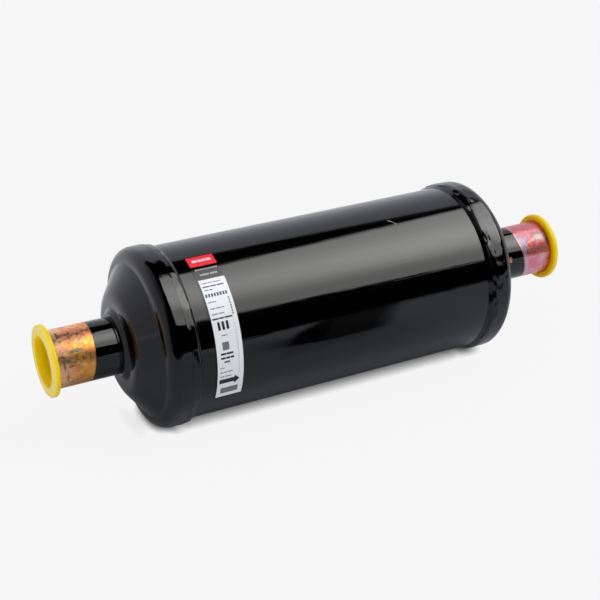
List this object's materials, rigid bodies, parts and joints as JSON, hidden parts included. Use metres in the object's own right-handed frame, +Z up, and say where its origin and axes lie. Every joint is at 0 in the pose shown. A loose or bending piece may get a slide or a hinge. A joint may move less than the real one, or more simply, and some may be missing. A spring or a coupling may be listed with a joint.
{
  "type": "filter drier",
  "caption": "Hermetic refrigerant filter drier: black cylindrical steel shell with domed ends, copper solder stubs at both ends and yellow pull-out plugs.",
  "frame": {"origin": "on the axis, midway between the two ends", "axes": "+X along the axis in the direction of flow, from the inlet to the outlet; +Z up"},
  "size_m": [0.2524, 0.0798, 0.0798],
  "materials": {
    "black_paint": "gloss black powder paint",
    "tinted_copper": "copper plating with heat tint, black paint next to the cap",
    "braze": "braze metal under black paint",
    "yellow_plastic": "satin polyethylene",
    "label_film": "printed film",
    "desiccant": "moulded desiccant",
    "felt": "felt",
    "bright_steel": "plated sheet and wire"
  },
  "bodies": {
    "drier": {"shell_tube": "black_paint", "inlet_end_cap": "black_paint", "outlet_end_cap": "black_paint", "inlet_girth_weld": "black_paint", "outlet_girth_weld": "black_paint", "outlet_weld_stop": "black_paint", "inlet_connector": "tinted_copper", "outlet_connector": "tinted_copper", "inlet_braze_ring": "braze", "outlet_braze_ring": "braze", "label": "label_film", "solid_core": "desiccant", "core_gasket": "felt", "filter_mat": "felt", "outlet_screen": "bright_steel", "outlet_plate": "bright_steel", "spring_plate": "bright_steel", "core_spring": "bright_steel"},
    "inlet_plug": {"inlet_plug": "yellow_plastic"},
    "outlet_plug": {"outlet_plug": "yellow_plastic"}
  },
  "joints": [
    {"name": "inlet_plug_pull", "type": "slide", "parent": "drier", "child": "inlet_plug", "axis": [-1, 0, 0], "range_m": [0, 0.04]},
    {"name": "outlet_plug_pull", "type": "slide", "parent": "drier", "child": "outlet_plug", "axis": [1, 0, 0], "range_m": [0, 0.04]}
  ]
}
